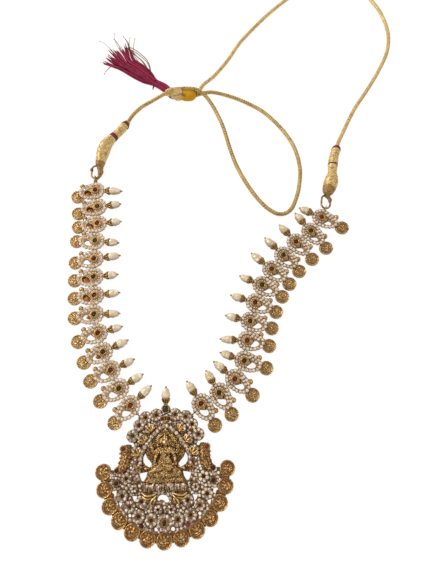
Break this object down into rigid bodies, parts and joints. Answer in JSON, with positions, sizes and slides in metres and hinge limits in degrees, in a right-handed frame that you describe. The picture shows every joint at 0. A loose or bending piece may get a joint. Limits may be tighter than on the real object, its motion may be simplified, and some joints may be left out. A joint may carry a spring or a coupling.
{
  "type": "pendant necklace",
  "caption": "Antique-gold necklace laid flat: pierced pendant with a seated figure, coins and pearls on stone-set links, adjustable braided cord with a slider and tassel.",
  "frame": {"origin": "on the back plane, at the centre of the arc of the pendant's coins", "axes": "+Y from the pendant to the neck, +Z out of the surface it lies on, so the front faces +Z"},
  "size_m": [0.2256, 0.3923, 0.0088],
  "materials": {
    "antique_gold": "antique gilt, dark in the hollows",
    "red_stone": "polished",
    "green_stone": "polished",
    "white_stone": "polished",
    "pearl": "pearly",
    "wound_thread": "wound gold thread with maroon bands",
    "braided_cord": "braided gold thread",
    "slider_thread": "wound thread",
    "tassel_thread": "loose thread"
  },
  "bodies": {
    "root": {"pendant_frame": "antique_gold", "pendant_figure": "antique_gold", "pendant_red_stones": "red_stone", "pendant_green_stone": "green_stone", "platform_stones": "white_stone", "pearl_top": "pearl", "link_l01": "antique_gold", "link_l02": "antique_gold", "link_l03": "antique_gold", "link_l04": "antique_gold", "link_l05": "antique_gold", "link_l06": "antique_gold", "link_l07": "antique_gold", "link_l08": "antique_gold", "link_l09": "antique_gold", "link_l10": "antique_gold", "link_l11": "antique_gold", "link_l12": "antique_gold", "link_l13": "antique_gold", "link_r01": "antique_gold", "link_r02": "antique_gold", "link_r03": "antique_gold", "link_r04": "antique_gold", "link_r05": "antique_gold", "link_r06": "antique_gold", "link_r07": "antique_gold", "link_r08": "antique_gold", "link_r09": "antique_gold", "link_r10": "antique_gold", "link_r11": "antique_gold", "link_r12": "antique_gold", "link_r13": "antique_gold", "pearls_left": "pearl", "pearls_right": "pearl", "red_stones": "red_stone", "green_stones": "green_stone", "ring_left": "antique_gold", "ring_right": "antique_gold", "sleeve_left": "wound_thread", "sleeve_right": "wound_thread", "cord_left": "braided_cord", "cord_right": "braided_cord", "slider": "slider_thread", "tassel": "tassel_thread"}
  },
  "joints": []
}
